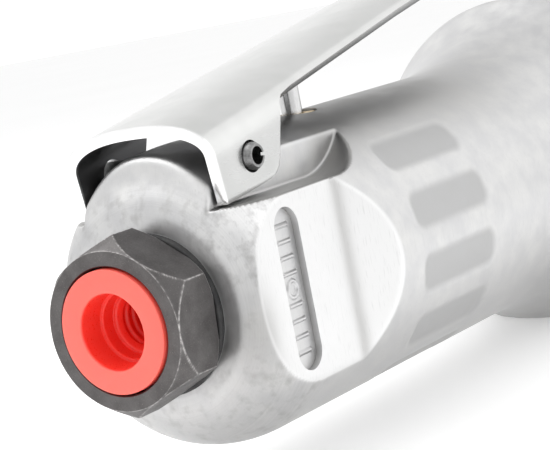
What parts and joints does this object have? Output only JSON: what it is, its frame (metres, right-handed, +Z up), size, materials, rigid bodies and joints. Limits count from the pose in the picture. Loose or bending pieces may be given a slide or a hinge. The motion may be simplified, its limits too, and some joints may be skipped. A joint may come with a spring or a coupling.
{
  "type": "pneumatic air hammer",
  "caption": "Straight pneumatic air hammer with a throttle lever on top of a round aluminium grip, hex air inlet at the rear and a chisel retainer spring at the front.",
  "frame": {"origin": "under the middle of the tool, on the plane of the flat under the front flare; the tool axis is 24.5 mm above it", "axes": "+X forward along the tool axis from the air inlet to the chisel end, +Z up on the throttle lever side, +Y to the left"},
  "size_m": [0.2022, 0.0528, 0.0607],
  "materials": {
    "satin_aluminium": "fine satin, bead blasted grip and turned rear end",
    "black_oxide_steel": "black oxide with worn bright edges",
    "nickel_plate": "semi-bright nickel plate on pressed sheet",
    "pin_steel": "dark rolled spring steel",
    "ground_steel": "fine ground",
    "cylinder_steel": "dark phosphate over turned steel",
    "spring_steel": "drawn spring wire",
    "red_plastic": "moulded soft plastic",
    "black_rubber": "matt moulded rubber",
    "brass": "machined"
  },
  "bodies": {
    "tool_body": {"housing": "satin_aluminium", "inlet_bushing": "black_oxide_steel", "inlet_seal_ring": "black_rubber", "inlet_dust_plug": "red_plastic", "inlet_screen": "brass", "lever_pin": "pin_steel", "stem_bushing": "brass", "stem_seal_ring": "black_rubber", "throttle_valve_seat": "brass", "throttle_spring": "spring_steel", "valve_chest": "ground_steel", "valve_cover": "ground_steel", "dowel_pin": "ground_steel", "cylinder": "cylinder_steel", "cylinder_seal_ring": "black_rubber", "lock_ring": "ground_steel", "exhaust_deflector": "black_rubber", "retainer_spring": "spring_steel"},
    "lever": {"throttle_lever": "nickel_plate"},
    "stem": {"valve_stem": "ground_steel"},
    "throttle": {"throttle_valve": "ground_steel"},
    "flapper": {"flapper_valve": "spring_steel"},
    "piston": {"piston": "ground_steel"}
  },
  "joints": [
    {"name": "lever_press", "type": "hinge", "parent": "tool_body", "child": "lever", "pos_m": [-0.08314, 0, 0.04064], "axis": [0, 1, 0], "range_deg": [0, 7], "stiffness_Nm_per_rad": 0.5, "springref_deg": -11.46},
    {"name": "stem_push", "type": "slide", "parent": "tool_body", "child": "stem", "axis": [0, 0, -1], "range_m": [0, 0.0032]},
    {"name": "throttle_tilt", "type": "hinge", "parent": "tool_body", "child": "throttle", "pos_m": [-0.0673, 0, 0.0307], "axis": [0, 1, 0], "range_deg": [0, 15], "deforming": ["throttle_spring"]},
    {"name": "flapper_travel", "type": "slide", "parent": "tool_body", "child": "flapper", "axis": [1, 0, 0], "range_m": [0, 0.0012]},
    {"name": "piston_stroke", "type": "slide", "parent": "tool_body", "child": "piston", "axis": [1, 0, 0], "range_m": [0, 0.04]}
  ],
  "couplings": [
    {"joint": "stem_push", "follows": "lever_press", "m_per_rad": 0.02619},
    {"joint": "throttle_tilt", "follows": "lever_press", "ratio": 2.1428}
  ]
}
